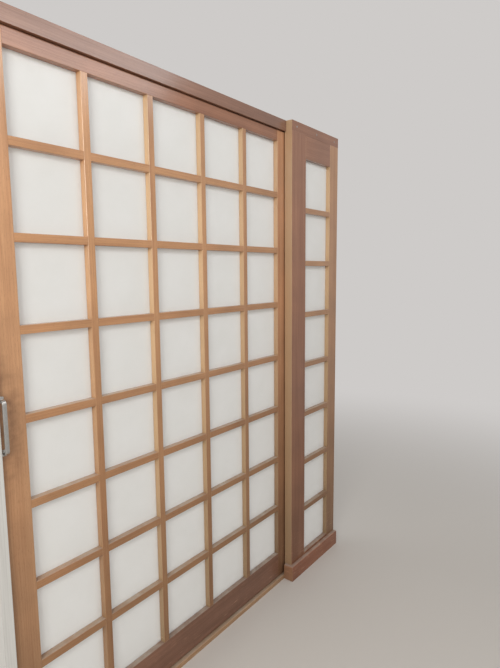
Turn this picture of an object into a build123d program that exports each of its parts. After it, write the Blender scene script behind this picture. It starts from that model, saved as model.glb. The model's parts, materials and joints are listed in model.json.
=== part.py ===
from build123d import *
import os

# A sliding lattice screen in its timber frame. A wide leaf of small panes rolls on a brass rail
# and slides behind a fixed sidelight, one pane wide, that stands in front of it on a broad post.
# X runs along the wall to the right, Y goes from the corridor into the room, and Z is up.
# The origin is on the floor, at the middle of the frame's width, in the plane of the leaf's front.
# All sizes are in millimetres.

# Lattice, the same in the leaf and the sidelight
columns = 5
rows = 8
pane_w = 221.0
pane_h = 218.5
bar_w = 24.0
bar_depth = 21.0
bar_tenon_l = 8.0
bar_tenon_w = 16.0
bar_tenon_t = 9.0

# Stiles, rails and glazing
panel_t = 38.0
stile_w = 80.0
bottom_rail_h = 116.0
top_rail_h = 44.0
tenon_l = 55.0
tenon_t = 12.0
tenon_shoulder = 12.0
tenon_front = 4.5
arris = 1.0
rebate_w = 12.0
sheet_t = 3.0
sheet_play = 1.0
bead_splay = 4.0

# Frame round the leaf
head_h = 45.0
threshold_h = 18.0
threshold_nose = 5.0
lining_lip = 12.0
jamb_w = 30.0
jamb_groove_play = 2.0
jamb_housing = 8.0
leaf_bite = 4.0
head_gap = 3.0
tongue_t = 18.0
tongue_h = 13.0
groove_play = 1.5
groove_spare = 3.0

# Sidelight, and where it stands
post_w = 117.0
side_pane_w = 226.0
side_drop = 56.0
post_overlap = 29.0
running_gap = 5.0

# Rail and wheels
rail_w = 6.0
rail_stand = 4.0
rail_sink = 4.0
rail_end_gap = 1.0
underside_gap = 2.0
wheel_inset = 150.0
wheel_root_r = 12.0
wheel_flange_r = 15.0
wheel_w = 12.0
wheel_gap = 0.3
wheel_side_play = 0.6
axle_r = 2.5
axle_play = 0.06
housing_wall = 1.5
housing_side_play = 0.5
housing_end_play = 2.0
housing_plate_l = 76.0
housing_plate_w = 22.0
housing_plate_t = 2.0
housing_plate_corner = 5.0

# Pulls
pull_inset = 14.0
pull_height = 1094.0
pull_span = 142.0
pull_reach = 21.0
pull_bar_w = 11.0
pull_bar_t = 6.0
pull_bar_edge = 1.5
pull_bend_r = 10.0
pull_foot_w = 17.0
pull_foot_t = 3.0
pull_foot_corner = 3.0
pull_bolt_r = 2.0
pull_bolt_play = 0.3
pull_bolt_bite = 12.0

# Buffers and fixing holes
buffer_w = 12.0
buffer_l = 40.0
buffer_gap = 0.3
buffer_edge = 1.5
buffer_heights = (420.0, 1680.0)
fixing_r = 2.75
fixing_head_r = 5.5
fixing_heights = (300.0, 1800.0)
fixing_spread = 1200.0

# Skirting at the foot of the sidelight
skirting_h = 72.0
skirting_t = 18.0
skirting_round = 8.0

# Heights
rail_top = threshold_h + rail_stand
leaf_bottom = rail_top + underside_gap
lattice_h = rows * pane_h + (rows - 1) * bar_w
leaf_lattice_bottom = leaf_bottom + bottom_rail_h
leaf_lattice_top = leaf_lattice_bottom + lattice_h
leaf_top = leaf_lattice_top + top_rail_h
head_bottom = leaf_top + head_gap
frame_h = head_bottom + head_h
side_lattice_bottom = leaf_lattice_bottom - side_drop
side_lattice_top = side_lattice_bottom + lattice_h
wheel_z = rail_top + wheel_gap + wheel_root_r

# Places along the wall
leaf_w = 2 * stile_w + columns * pane_w + (columns - 1) * bar_w
frame_w = jamb_w - leaf_bite + leaf_w - post_overlap + post_w + side_pane_w + stile_w
frame_left = -frame_w / 2
frame_right = frame_w / 2
lining_left = frame_left + jamb_w
lining_right = frame_right - jamb_w
leaf_left = lining_left - leaf_bite
leaf_right = leaf_left + leaf_w
opening_left = leaf_left + stile_w
opening_right = leaf_right - stile_w
post_left = leaf_right - post_overlap
post_right = post_left + post_w
side_right = post_right + side_pane_w
bar_xs = [opening_left + column * (pane_w + bar_w) - bar_w / 2 for column in range(1, columns)]
row_steps = [row * (pane_h + bar_w) - bar_w / 2 for row in range(1, rows)]
wheel_xs = (leaf_left + wheel_inset, leaf_right - wheel_inset)

# Places from front to back
leaf_middle = panel_t / 2
lining_front = -lining_lip
lining_back = panel_t + lining_lip
side_back = -running_gap
side_front = side_back - panel_t
groove_w = tongue_t + 2 * groove_play
groove_depth = tongue_h - head_gap + groove_spare
buffer_h = jamb_housing - leaf_bite - buffer_gap

os.makedirs("parts", exist_ok=True)


def keep(piece, name):
    """Name a finished piece and write it to its own file."""
    piece.part.label = name
    export_step(piece.part, f"parts/{name}.step")


def ease(axis, front):
    """Take the sharp arris off the long edges of a piece's front face."""
    long_edges = edges().filter_by(axis).filter_by_position(Axis.Y, front - arris / 2, front + arris / 2)
    chamfer(long_edges, length=arris)


def stile_solid(inner, outer, front, low, high):
    """Add a stile: a flat board with a glazing rebate along its inner edge, at the back."""
    outwards = 1 if outer > inner else -1
    shoulder = inner + outwards * rebate_w
    with BuildSketch(Plane.XY.offset(low)) as section:
        with BuildLine():
            Polyline(
                (outer, front),
                (inner, front),
                (inner, front + bar_depth),
                (shoulder, front + bar_depth),
                (shoulder, front + panel_t),
                (outer, front + panel_t),
                close=True,
            )
        make_face()
    extrude(section.sketch, amount=high - low)
    ease(Axis.Z, front)


def stile_mortises(inner, outer, front, rail_spans, bar_heights):
    """Cut the mortises of the rails' tenons and of the bars' stub tenons in a stile."""
    outwards = 1 if outer > inner else -1
    for low, high in rail_spans:
        with BuildSketch(Plane.YZ.offset(inner)) as section:
            with Locations((front + tenon_front + tenon_t / 2, (low + high) / 2)):
                Rectangle(tenon_t, high - low)
        extrude(section.sketch, amount=outwards * tenon_l, mode=Mode.SUBTRACT)
    with BuildSketch(Plane.YZ.offset(inner)) as section:
        with Locations(*[(front + bar_depth / 2, height) for height in bar_heights]):
            Rectangle(bar_tenon_t, bar_tenon_w)
    extrude(section.sketch, amount=outwards * bar_tenon_l, mode=Mode.SUBTRACT)


def rail_solid(left, right, front, edge, back_edge, tenon_span):
    """Add a rail between two stiles: rebated along its glazed edge, with a long shoulder at the
    back that fills the stiles' rebates, and a tenon at each end."""
    inwards = 1 if edge > back_edge else -1
    shoulder = edge - inwards * rebate_w
    with BuildSketch(Plane.YZ.offset(left)) as section:
        with BuildLine():
            Polyline(
                (front, back_edge),
                (front, edge),
                (front + bar_depth, edge),
                (front + bar_depth, back_edge),
                close=True,
            )
        make_face()
    extrude(section.sketch, amount=right - left)
    with BuildSketch(Plane.YZ.offset(left - rebate_w)) as section:
        with BuildLine():
            Polyline(
                (front + bar_depth, back_edge),
                (front + bar_depth, shoulder),
                (front + panel_t, shoulder),
                (front + panel_t, back_edge),
                close=True,
            )
        make_face()
    extrude(section.sketch, amount=right - left + 2 * rebate_w)
    low, high = tenon_span
    with BuildSketch(Plane.YZ.offset(left - tenon_l)) as section:
        with Locations((front + tenon_front + tenon_t / 2, (low + high) / 2)):
            Rectangle(tenon_t, high - low)
    extrude(section.sketch, amount=right - left + 2 * tenon_l)
    ease(Axis.X, front)


def rail_mortises(xs, front, edge, inwards):
    """Cut the mortises of the upright bars' stub tenons in a rail's glazed edge."""
    with BuildSketch(Plane.XY.offset(edge)) as section:
        with Locations(*[(x, front + bar_depth / 2) for x in xs]):
            Rectangle(bar_tenon_w, bar_tenon_t)
    extrude(section.sketch, amount=-inwards * bar_tenon_l, mode=Mode.SUBTRACT)


def tongue_shoulders(left, right):
    """Cut back both faces at the leaf's top, which leaves the tongue that runs in the head."""
    cheek = (panel_t - tongue_t) / 2
    with BuildSketch(Plane.YZ.offset(left)) as section:
        with Locations(
            (cheek / 2, leaf_top + tongue_h / 2),
            (panel_t - cheek / 2, leaf_top + tongue_h / 2),
        ):
            Rectangle(cheek, tongue_h)
    extrude(section.sketch, amount=right - left, mode=Mode.SUBTRACT)


def cross_bar_solid(left, right, front, height):
    """Add a cross bar with a stub tenon at each end."""
    with BuildSketch(Plane.YZ.offset(left)) as section:
        with Locations((front + bar_depth / 2, height)):
            Rectangle(bar_depth, bar_w)
    extrude(section.sketch, amount=right - left)
    with BuildSketch(Plane.YZ.offset(left - bar_tenon_l)) as section:
        with Locations((front + bar_depth / 2, height)):
            Rectangle(bar_tenon_t, bar_tenon_w)
    extrude(section.sketch, amount=right - left + 2 * bar_tenon_l)
    ease(Axis.X, front)


def make_sheet(name, left, right, low, high, front):
    """Make the milky sheet that lies in the rebates behind the lattice."""
    margin = rebate_w - sheet_play
    with BuildPart() as sheet:
        with BuildSketch(Plane.XZ.offset(-front - bar_depth)):
            with Locations(((left + right) / 2, (low + high) / 2)):
                Rectangle(right - left + 2 * margin, high - low + 2 * margin)
        extrude(amount=-sheet_t)
    keep(sheet, name)


def make_beads(prefix, left, right, low, high, front):
    """Make the four mitred beads that hold the sheet in its rebates from behind."""
    face = front + bar_depth + sheet_t
    depth = panel_t - bar_depth - sheet_t
    inner = [(left, low), (right, low), (right, high), (left, high)]
    outer = [
        (left - rebate_w, low - rebate_w),
        (right + rebate_w, low - rebate_w),
        (right + rebate_w, high + rebate_w),
        (left - rebate_w, high + rebate_w),
    ]
    sides = (
        ("bottom", 0, Axis.X, Axis.Z, -1),
        ("right", 1, Axis.Z, Axis.X, 0),
        ("top", 2, Axis.X, Axis.Z, 0),
        ("left", 3, Axis.Z, Axis.X, -1),
    )
    for side, start, run, across, towards_pane in sides:
        end = (start + 1) % len(inner)
        with BuildPart() as bead:
            with BuildSketch(Plane.XZ.offset(-face)):
                with BuildLine():
                    Polyline(outer[start], outer[end], inner[end], inner[start], close=True)
                make_face()
            extrude(amount=-depth)
            back_edges = edges().filter_by(run).group_by(Axis.Y)[-1]
            chamfer(back_edges.sort_by(across)[towards_pane], length=bead_splay)
        keep(bead, f"{prefix}_bead_{side}")


# Leaf

leaf_cross_heights = [leaf_lattice_bottom + step for step in row_steps]
bottom_tenon = (leaf_bottom + tenon_shoulder, leaf_lattice_bottom - tenon_shoulder)
top_tenon = (leaf_lattice_top + tenon_shoulder, leaf_top)
pull_x = leaf_left + pull_inset
pull_heights = (pull_height - pull_span / 2, pull_height + pull_span / 2)

with BuildPart() as left_stile:
    stile_solid(opening_left, leaf_left, 0, leaf_bottom, leaf_top + tongue_h)
    stile_mortises(opening_left, leaf_left, 0, (bottom_tenon, top_tenon), leaf_cross_heights)
    tongue_shoulders(leaf_left, opening_left)
    with BuildSketch(Plane.XZ):
        with Locations(*[(pull_x, height) for height in pull_heights]):
            Circle(pull_bolt_r + pull_bolt_play)
    extrude(amount=-panel_t, mode=Mode.SUBTRACT)
keep(left_stile, "left_stile")

with BuildPart() as right_stile:
    stile_solid(opening_right, leaf_right, 0, leaf_bottom, leaf_top + tongue_h)
    stile_mortises(opening_right, leaf_right, 0, (bottom_tenon, top_tenon), leaf_cross_heights)
    tongue_shoulders(opening_right, leaf_right)
keep(right_stile, "right_stile")

with BuildPart() as top_rail:
    rail_solid(opening_left, opening_right, 0, leaf_lattice_top, leaf_top + tongue_h, top_tenon)
    rail_mortises(bar_xs, 0, leaf_lattice_top, -1)
    tongue_shoulders(opening_left - rebate_w, opening_right + rebate_w)
keep(top_rail, "top_rail")

housing_inner_l = 2 * (wheel_flange_r + housing_end_play)
housing_inner_w = wheel_w + 2 * housing_side_play
housing_outer_l = housing_inner_l + 2 * housing_wall
housing_outer_w = housing_inner_w + 2 * housing_wall
housing_inner_top = wheel_z + wheel_flange_r + housing_end_play
housing_top = housing_inner_top + housing_wall

with BuildPart() as bottom_rail:
    rail_solid(opening_left, opening_right, 0, leaf_lattice_bottom, leaf_bottom, bottom_tenon)
    rail_mortises(bar_xs, 0, leaf_lattice_bottom, 1)
    with BuildSketch(Plane.XY.offset(leaf_bottom)):
        with Locations(*[(x, leaf_middle) for x in wheel_xs]):
            Rectangle(housing_plate_l, housing_plate_w)
        chamfer(vertices(), length=housing_plate_corner)
    extrude(amount=housing_plate_t, mode=Mode.SUBTRACT)
    with BuildSketch(Plane.XY.offset(leaf_bottom)):
        with Locations(*[(x, leaf_middle) for x in wheel_xs]):
            Rectangle(housing_outer_l, housing_outer_w)
    extrude(amount=housing_top - leaf_bottom, mode=Mode.SUBTRACT)
keep(bottom_rail, "bottom_rail")

# The upright bars run through at the front, and each is halved from behind at every crossing.
for number, x in enumerate(bar_xs, start=1):
    with BuildPart() as upright_bar:
        with BuildSketch(Plane.XY.offset(leaf_lattice_bottom)):
            with Locations((x, bar_depth / 2)):
                Rectangle(bar_w, bar_depth)
        extrude(amount=lattice_h)
        with BuildSketch(Plane.XY.offset(leaf_lattice_bottom - bar_tenon_l)):
            with Locations((x, bar_depth / 2)):
                Rectangle(bar_tenon_w, bar_tenon_t)
        extrude(amount=lattice_h + 2 * bar_tenon_l)
        ease(Axis.Z, 0)
        with BuildSketch(Plane.XZ.offset(-bar_depth)):
            with Locations(*[(x, height) for height in leaf_cross_heights]):
                Rectangle(bar_w, bar_w)
        extrude(amount=bar_depth / 2, mode=Mode.SUBTRACT)
    keep(upright_bar, f"upright_bar_{number}")

# The cross bars are halved from the front, so that both faces of the lattice are flush.
for number, height in enumerate(leaf_cross_heights, start=1):
    with BuildPart() as cross_bar:
        cross_bar_solid(opening_left, opening_right, 0, height)
        with BuildSketch(Plane.XZ):
            with Locations(*[(x, height) for x in bar_xs]):
                Rectangle(bar_w, bar_w)
        extrude(amount=-bar_depth / 2, mode=Mode.SUBTRACT)
    keep(cross_bar, f"cross_bar_{number}")

make_sheet("leaf_sheet", opening_left, opening_right, leaf_lattice_bottom, leaf_lattice_top, 0)
make_beads("leaf", opening_left, opening_right, leaf_lattice_bottom, leaf_lattice_top, 0)

# Wheels, each on an axle in a pressed housing that is let into the bottom rail
for side, x in zip(("left", "right"), wheel_xs):
    wheel_axis = Axis((x, leaf_middle, wheel_z), (0, 1, 0))

    with BuildPart() as wheel_housing:
        with BuildSketch(Plane.XY.offset(leaf_bottom)):
            with Locations((x, leaf_middle)):
                Rectangle(housing_plate_l, housing_plate_w)
            chamfer(vertices(), length=housing_plate_corner)
        extrude(amount=housing_plate_t)
        with BuildSketch(Plane.XY.offset(leaf_bottom)):
            with Locations((x, leaf_middle)):
                Rectangle(housing_outer_l, housing_outer_w)
        extrude(amount=housing_top - leaf_bottom)
        with BuildSketch(Plane.XY.offset(leaf_bottom)):
            with Locations((x, leaf_middle)):
                Rectangle(housing_inner_l, housing_inner_w)
        extrude(amount=housing_inner_top - leaf_bottom, mode=Mode.SUBTRACT)
        with BuildSketch(Plane.XZ.offset(-leaf_middle)):
            with Locations((x, wheel_z)):
                Circle(axle_r)
        extrude(amount=housing_outer_w / 2, both=True, mode=Mode.SUBTRACT)
    keep(wheel_housing, f"{side}_wheel_housing")

    with BuildPart() as axle:
        with BuildSketch(Plane.XZ.offset(-leaf_middle)):
            with Locations((x, wheel_z)):
                Circle(axle_r)
        extrude(amount=housing_outer_w / 2, both=True)
    keep(axle, f"{side}_axle")

    # The wheel's groove has a flat root that rolls on the rail's round top, between two flanges.
    groove_half = rail_w / 2 + wheel_side_play
    with BuildPart() as wheel:
        with BuildSketch(Plane((x, leaf_middle, wheel_z), x_dir=(0, 1, 0), z_dir=(1, 0, 0))):
            with BuildLine():
                Polyline(
                    (-wheel_w / 2, axle_r + axle_play),
                    (wheel_w / 2, axle_r + axle_play),
                    (wheel_w / 2, wheel_flange_r),
                    (groove_half, wheel_flange_r),
                    (groove_half, wheel_root_r),
                    (-groove_half, wheel_root_r),
                    (-groove_half, wheel_flange_r),
                    (-wheel_w / 2, wheel_flange_r),
                    close=True,
                )
            make_face()
        revolve(axis=wheel_axis)
    keep(wheel, f"{side}_wheel")

# Pulls, one on each face of the left stile, held back to back by two bolts
def make_pull(name, face, outwards):
    """Make a bow pull: a flat bar with eased edges, bent at both ends, on two square feet."""
    reach = face + outwards * pull_reach
    foot_plane = Plane((0, face, 0), x_dir=(1, 0, 0), z_dir=(0, outwards, 0))
    foot_places = [foot_plane.to_local_coords(Vector(pull_x, face, height)) for height in pull_heights]
    with BuildPart() as pull:
        with BuildLine():
            FilletPolyline(
                (pull_x, face, pull_heights[0]),
                (pull_x, reach, pull_heights[0]),
                (pull_x, reach, pull_heights[1]),
                (pull_x, face, pull_heights[1]),
                radius=pull_bend_r,
            )
        with BuildSketch(Plane((pull_x, face, pull_heights[0]), x_dir=(1, 0, 0), z_dir=(0, outwards, 0))):
            Rectangle(pull_bar_w, pull_bar_t)
            chamfer(vertices(), length=pull_bar_edge)
        sweep()
        with BuildSketch(foot_plane):
            with Locations(*[(place.X, place.Y) for place in foot_places]):
                Rectangle(pull_foot_w, pull_foot_w)
            chamfer(vertices(), length=pull_foot_corner)
        extrude(amount=pull_foot_t)
        with BuildSketch(foot_plane):
            with Locations(*[(place.X, place.Y) for place in foot_places]):
                Circle(pull_bolt_r)
        extrude(amount=pull_bolt_bite, mode=Mode.SUBTRACT)
    keep(pull, name)


make_pull("front_pull", 0, -1)
make_pull("rear_pull", panel_t, 1)

with BuildPart() as pull_bolts:
    with BuildSketch(Plane.XZ.offset(pull_bolt_bite)):
        with Locations(*[(pull_x, height) for height in pull_heights]):
            Circle(pull_bolt_r)
    extrude(amount=-panel_t - 2 * pull_bolt_bite)
keep(pull_bolts, "pull_bolts")

# Frame: a grooved head and a threshold, housed in two jambs

lining_start = lining_left - jamb_housing
lining_length = lining_right - lining_left + 2 * jamb_housing


def sidelight_notch(low, height):
    """Cut back the front of the head or the threshold where the sidelight stands against it."""
    with BuildSketch(Plane.XY.offset(low)) as section:
        with BuildLine():
            Polyline(
                (post_left, lining_front),
                (frame_right, lining_front),
                (frame_right, side_back),
                (post_left, side_back),
                close=True,
            )
        make_face()
    extrude(section.sketch, amount=height, mode=Mode.SUBTRACT)


with BuildPart() as head:
    with BuildSketch(Plane.YZ.offset(lining_start)):
        with BuildLine():
            Polyline(
                (lining_front, head_bottom),
                (leaf_middle - groove_w / 2, head_bottom),
                (leaf_middle - groove_w / 2, head_bottom + groove_depth),
                (leaf_middle + groove_w / 2, head_bottom + groove_depth),
                (leaf_middle + groove_w / 2, head_bottom),
                (lining_back, head_bottom),
                (lining_back, frame_h),
                (lining_front, frame_h),
                close=True,
            )
        make_face()
    extrude(amount=lining_length)
    sidelight_notch(head_bottom, head_h)
    with BuildSketch(Plane.XY.offset(head_bottom + groove_depth)):
        with GridLocations(fixing_spread, 1, 2, 1):
            with Locations((0, leaf_middle)):
                Circle(fixing_r)
    extrude(amount=head_h, mode=Mode.SUBTRACT)
keep(head, "head")

with BuildPart() as threshold:
    with BuildSketch(Plane.YZ.offset(lining_start)):
        with BuildLine():
            Polyline(
                (lining_front, 0),
                (lining_back, 0),
                (lining_back, threshold_h),
                (leaf_middle + rail_w / 2, threshold_h),
                (leaf_middle + rail_w / 2, threshold_h - rail_sink),
                (leaf_middle - rail_w / 2, threshold_h - rail_sink),
                (leaf_middle - rail_w / 2, threshold_h),
                (lining_front, threshold_h),
                close=True,
            )
        make_face()
    extrude(amount=lining_length)
    nose = edges().filter_by(Axis.X).group_by(Axis.Y)[0].sort_by(Axis.Z)[-1]
    fillet(nose, radius=threshold_nose)
    sidelight_notch(0, threshold_h)
keep(threshold, "threshold")

with BuildPart() as floor_rail:
    with BuildSketch(Plane.YZ.offset(lining_left + rail_end_gap)):
        with BuildLine():
            Polyline(
                (leaf_middle - rail_w / 2, rail_top - rail_w / 2),
                (leaf_middle - rail_w / 2, threshold_h - rail_sink),
                (leaf_middle + rail_w / 2, threshold_h - rail_sink),
                (leaf_middle + rail_w / 2, rail_top - rail_w / 2),
            )
            ThreePointArc(
                (leaf_middle - rail_w / 2, rail_top - rail_w / 2),
                (leaf_middle, rail_top),
                (leaf_middle + rail_w / 2, rail_top - rail_w / 2),
            )
        make_face()
    extrude(amount=lining_right - lining_left - 2 * rail_end_gap)
keep(floor_rail, "floor_rail")


def lining_housings(inner, outwards):
    """Cut the housings for the ends of the head and the threshold in a jamb."""
    for low, height in ((0, threshold_h), (head_bottom, head_h)):
        with BuildSketch(Plane.XY.offset(low)) as section:
            with Locations((inner + outwards * jamb_housing / 2, (lining_front + lining_back) / 2)):
                Rectangle(jamb_housing, lining_back - lining_front)
        extrude(section.sketch, amount=height, mode=Mode.SUBTRACT)


def jamb_fixings(face, outwards):
    """Cut the two countersunk holes that fix a jamb to the wall beside it."""
    normal = -outwards
    plane = Plane((face, leaf_middle, 0), x_dir=(0, 1, 0), z_dir=(normal, 0, 0))
    for height in fixing_heights:
        local = plane.to_local_coords(Vector(face, leaf_middle, height))
        with Locations(plane.location * Location((local.X, local.Y, 0))):
            CounterSinkHole(radius=fixing_r, counter_sink_radius=fixing_head_r)


# The left jamb has a groove that the leaf's edge enters when it is closed.
with BuildPart() as left_jamb:
    with BuildSketch(Plane.XY):
        with BuildLine():
            Polyline(
                (frame_left, lining_front),
                (lining_left, lining_front),
                (lining_left, -jamb_groove_play),
                (lining_left - jamb_housing, -jamb_groove_play),
                (lining_left - jamb_housing, panel_t + jamb_groove_play),
                (lining_left, panel_t + jamb_groove_play),
                (lining_left, lining_back),
                (frame_left, lining_back),
                close=True,
            )
        make_face()
    extrude(amount=frame_h)
    lining_housings(lining_left, -1)
    jamb_fixings(lining_left - jamb_housing, -1)
keep(left_jamb, "left_jamb")

with BuildPart() as right_jamb:
    with BuildSketch(Plane.XY):
        with BuildLine():
            Polyline(
                (lining_right, side_back),
                (frame_right, side_back),
                (frame_right, lining_back),
                (lining_right, lining_back),
                close=True,
            )
        make_face()
    extrude(amount=frame_h)
    lining_housings(lining_right, 1)
    jamb_fixings(lining_right, 1)
keep(right_jamb, "right_jamb")

# Rubber buffers on both jambs, where the leaf's edges come to a stop
for side, face, inwards in (("left", lining_left - jamb_housing, 1), ("right", lining_right, -1)):
    with BuildPart() as buffers:
        buffer_plane = Plane((face, leaf_middle, 0), x_dir=(0, inwards, 0), z_dir=(inwards, 0, 0))
        with BuildSketch(buffer_plane):
            with Locations(*[(0, height) for height in buffer_heights]):
                Rectangle(buffer_w, buffer_l)
        extrude(amount=buffer_h)
        chamfer(faces().filter_by(Axis.X).group_by(Axis.X)[-1 if inwards > 0 else 0].edges(), buffer_edge)
    keep(buffers, f"{side}_buffers")

# Sidelight: a fixed panel, one pane wide, whose left stile is the broad post

side_cross_heights = [side_lattice_bottom + step for step in row_steps]
side_bottom_tenon = (tenon_shoulder, side_lattice_bottom - tenon_shoulder)
side_top_tenon = (side_lattice_top + tenon_shoulder, head_bottom - tenon_shoulder)
side_rail_tenons = (side_bottom_tenon, side_top_tenon)

with BuildPart() as sidelight_post:
    stile_solid(post_right, post_left, side_front, 0, head_bottom)
    stile_mortises(post_right, post_left, side_front, side_rail_tenons, side_cross_heights)
keep(sidelight_post, "sidelight_post")

with BuildPart() as sidelight_stile:
    stile_solid(side_right, frame_right, side_front, 0, head_bottom)
    stile_mortises(side_right, frame_right, side_front, side_rail_tenons, side_cross_heights)
keep(sidelight_stile, "sidelight_stile")

with BuildPart() as sidelight_top_rail:
    rail_solid(post_right, side_right, side_front, side_lattice_top, head_bottom, side_top_tenon)
keep(sidelight_top_rail, "sidelight_top_rail")

with BuildPart() as sidelight_bottom_rail:
    rail_solid(post_right, side_right, side_front, side_lattice_bottom, 0, side_bottom_tenon)
keep(sidelight_bottom_rail, "sidelight_bottom_rail")

for number, height in enumerate(side_cross_heights, start=1):
    with BuildPart() as sidelight_cross_bar:
        cross_bar_solid(post_right, side_right, side_front, height)
    keep(sidelight_cross_bar, f"sidelight_cross_bar_{number}")

side_glass = (post_right, side_right, side_lattice_bottom, side_lattice_top, side_front)
make_sheet("sidelight_sheet", *side_glass)
make_beads("sidelight", *side_glass)

with BuildPart() as sidelight_head:
    with BuildSketch(Plane.XY.offset(head_bottom)):
        with BuildLine():
            Polyline(
                (post_left, side_front),
                (frame_right, side_front),
                (frame_right, side_back),
                (post_left, side_back),
                close=True,
            )
        make_face()
    extrude(amount=head_h)
keep(sidelight_head, "sidelight_head")

# Skirting, mitred round the post's outer corner

skirting_left = post_left - skirting_t
skirting_front_y = side_front - skirting_t
mitre = Plane((skirting_left, skirting_front_y, 0), z_dir=(1, -1, 0))


def skirting_profile(wall, outwards):
    """Draw a skirting's section: flat at the back, with its top outer edge rounded."""
    outer = wall + outwards * skirting_t
    with BuildLine() as outline:
        Polyline(
            (outer - outwards * skirting_round, skirting_h),
            (wall, skirting_h),
            (wall, 0),
            (outer, 0),
            (outer, skirting_h - skirting_round),
        )
        TangentArc(
            (outer, skirting_h - skirting_round),
            (outer - outwards * skirting_round, skirting_h),
            tangent=(0, 1),
        )
    make_face(outline.line)


with BuildPart() as skirting_board:
    with BuildSketch(Plane.YZ.offset(skirting_left)):
        skirting_profile(side_front, -1)
    extrude(amount=frame_right - skirting_left)
    split(bisect_by=mitre, keep=Keep.TOP)
keep(skirting_board, "skirting_board")

with BuildPart() as skirting_return:
    with BuildSketch(Plane.XZ.offset(-skirting_front_y)):
        skirting_profile(post_left, -1)
    extrude(amount=skirting_front_y - lining_front)
    split(bisect_by=mitre, keep=Keep.BOTTOM)
keep(skirting_return, "skirting_return")

print("frame", frame_w, "wide", frame_h, "high; leaf slides", lining_right - leaf_right - buffer_h - buffer_gap)
print("wheel height", wheel_z, "rolling radius", wheel_root_r, "pull at", pull_x, pull_heights)
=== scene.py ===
# %% [markdown]
# A lattice screen seen from a corridor: a wide leaf of small milky panes rolls on a floor rail and
# slides behind a fixed sidelight on a broad post. The joinery comes in as a fixed, measured model,
# so this lesson is about everything that the eye reads after the shape: stained timber with its
# grain and eased edges, glossy milky panes, satin metal, and the light that grazes all of it.

# %% Bring in the joinery
import json
import math

import bpy
from mathutils import Matrix, Vector


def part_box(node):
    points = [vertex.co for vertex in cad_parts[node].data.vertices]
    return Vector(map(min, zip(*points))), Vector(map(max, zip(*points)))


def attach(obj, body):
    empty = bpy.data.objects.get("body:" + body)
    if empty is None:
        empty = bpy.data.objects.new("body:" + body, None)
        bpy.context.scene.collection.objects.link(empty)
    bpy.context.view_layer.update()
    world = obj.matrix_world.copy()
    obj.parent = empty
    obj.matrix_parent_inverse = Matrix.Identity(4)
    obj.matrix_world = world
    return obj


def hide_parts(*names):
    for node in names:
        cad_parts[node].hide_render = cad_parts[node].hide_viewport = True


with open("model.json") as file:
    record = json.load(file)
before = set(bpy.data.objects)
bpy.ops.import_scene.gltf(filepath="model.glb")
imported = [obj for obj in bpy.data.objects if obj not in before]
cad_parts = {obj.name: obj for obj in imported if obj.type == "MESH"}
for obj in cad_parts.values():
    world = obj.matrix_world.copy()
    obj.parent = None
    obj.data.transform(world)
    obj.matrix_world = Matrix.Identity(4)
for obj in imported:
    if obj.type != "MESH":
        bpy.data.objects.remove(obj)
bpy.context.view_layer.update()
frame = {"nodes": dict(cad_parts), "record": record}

joinery = frame["nodes"]

# %% [markdown]
# A photograph is a view from one place. The lattice itself gave that place: its joints are evenly
# spaced, so the way the spacing shrinks across the picture says where the lens was, how far it was
# turned and how wide it saw. The camera stands left of the screen at eye height, turned to the
# right and tipped down a little, and it is rolled by half a degree because it was held by hand.

# %% Camera
PHOTO_WIDTH = 500
PHOTO_HEIGHT = 668
LENS_PLACE = Vector((-1.4566, -1.2890, 1.4876))
LENS_TURN = math.radians(52.27)
LENS_TIP = math.radians(7.02)
LENS_ROLL = math.radians(-0.50)
FOCAL_PIXELS = 501.5
SENSOR = 36.0

lens = bpy.data.cameras.new("corridor_camera")
lens.sensor_fit = "HORIZONTAL"
lens.sensor_width = SENSOR
lens.lens = FOCAL_PIXELS / PHOTO_WIDTH * SENSOR
camera = bpy.data.objects.new("corridor_camera", lens)
bpy.context.scene.collection.objects.link(camera)
turn = Matrix.Rotation(-LENS_TURN, 4, "Z")
tip = Matrix.Rotation(math.pi / 2 - LENS_TIP, 4, "X")
roll = Matrix.Rotation(LENS_ROLL, 4, "Z")
camera.matrix_world = Matrix.Translation(LENS_PLACE) @ turn @ tip @ roll
bpy.context.scene.camera = camera
print("lens:", round(lens.lens, 2), "mm for a picture of", PHOTO_WIDTH, "by", PHOTO_HEIGHT)

# %% [markdown]
# Materials are built from nodes, and small helpers keep every later cell short. The first turns a
# colour as a painter would mix it, 0 to 255 in each channel, into the linear values that light is
# reckoned in. The second fills the inputs of a node: a plain value stays on the input, and what
# comes out of another node is linked to it. The third adds a node and fills it. The rest add the
# kinds of node that are needed most, each in one line.

# %% Node helpers
NOISE_SPAN = (0.3, 0.7)


def paint(red, green, blue):
    """A colour given as 0 to 255 in each channel, in linear light, with full opacity."""
    def linear(channel):
        level = channel / 255
        return level / 12.92 if level <= 0.04045 else ((level + 0.055) / 1.055) ** 2.4
    return (linear(red), linear(green), linear(blue), 1.0)


def fill(node, inputs):
    """Fill inputs, given by name or number. A node as the value means its first output in use."""
    for key, value in dict(inputs).items():
        if isinstance(value, bpy.types.Node):
            value = next(socket for socket in value.outputs if socket.enabled)
        if isinstance(value, bpy.types.NodeSocket):
            node.id_data.links.new(value, node.inputs[key])
        else:
            node.inputs[key].default_value = value


def add(tree, kind, inputs=(), **settings):
    """Add a node, set its properties and fill its inputs."""
    made = tree.nodes.new("ShaderNode" + kind)
    for name, value in settings.items():
        setattr(made, name, value)
    fill(made, inputs)
    return made


def noise(tree, place, scale=1.0, detail=2.0, roughness=0.5, distortion=0.0):
    """A cloudy pattern, read at a place in space. Nearly all its values lie in NOISE_SPAN."""
    look = {"Scale": scale, "Detail": detail, "Roughness": roughness, "Distortion": distortion}
    return add(tree, "TexNoise", {"Vector": place, **look})


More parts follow.
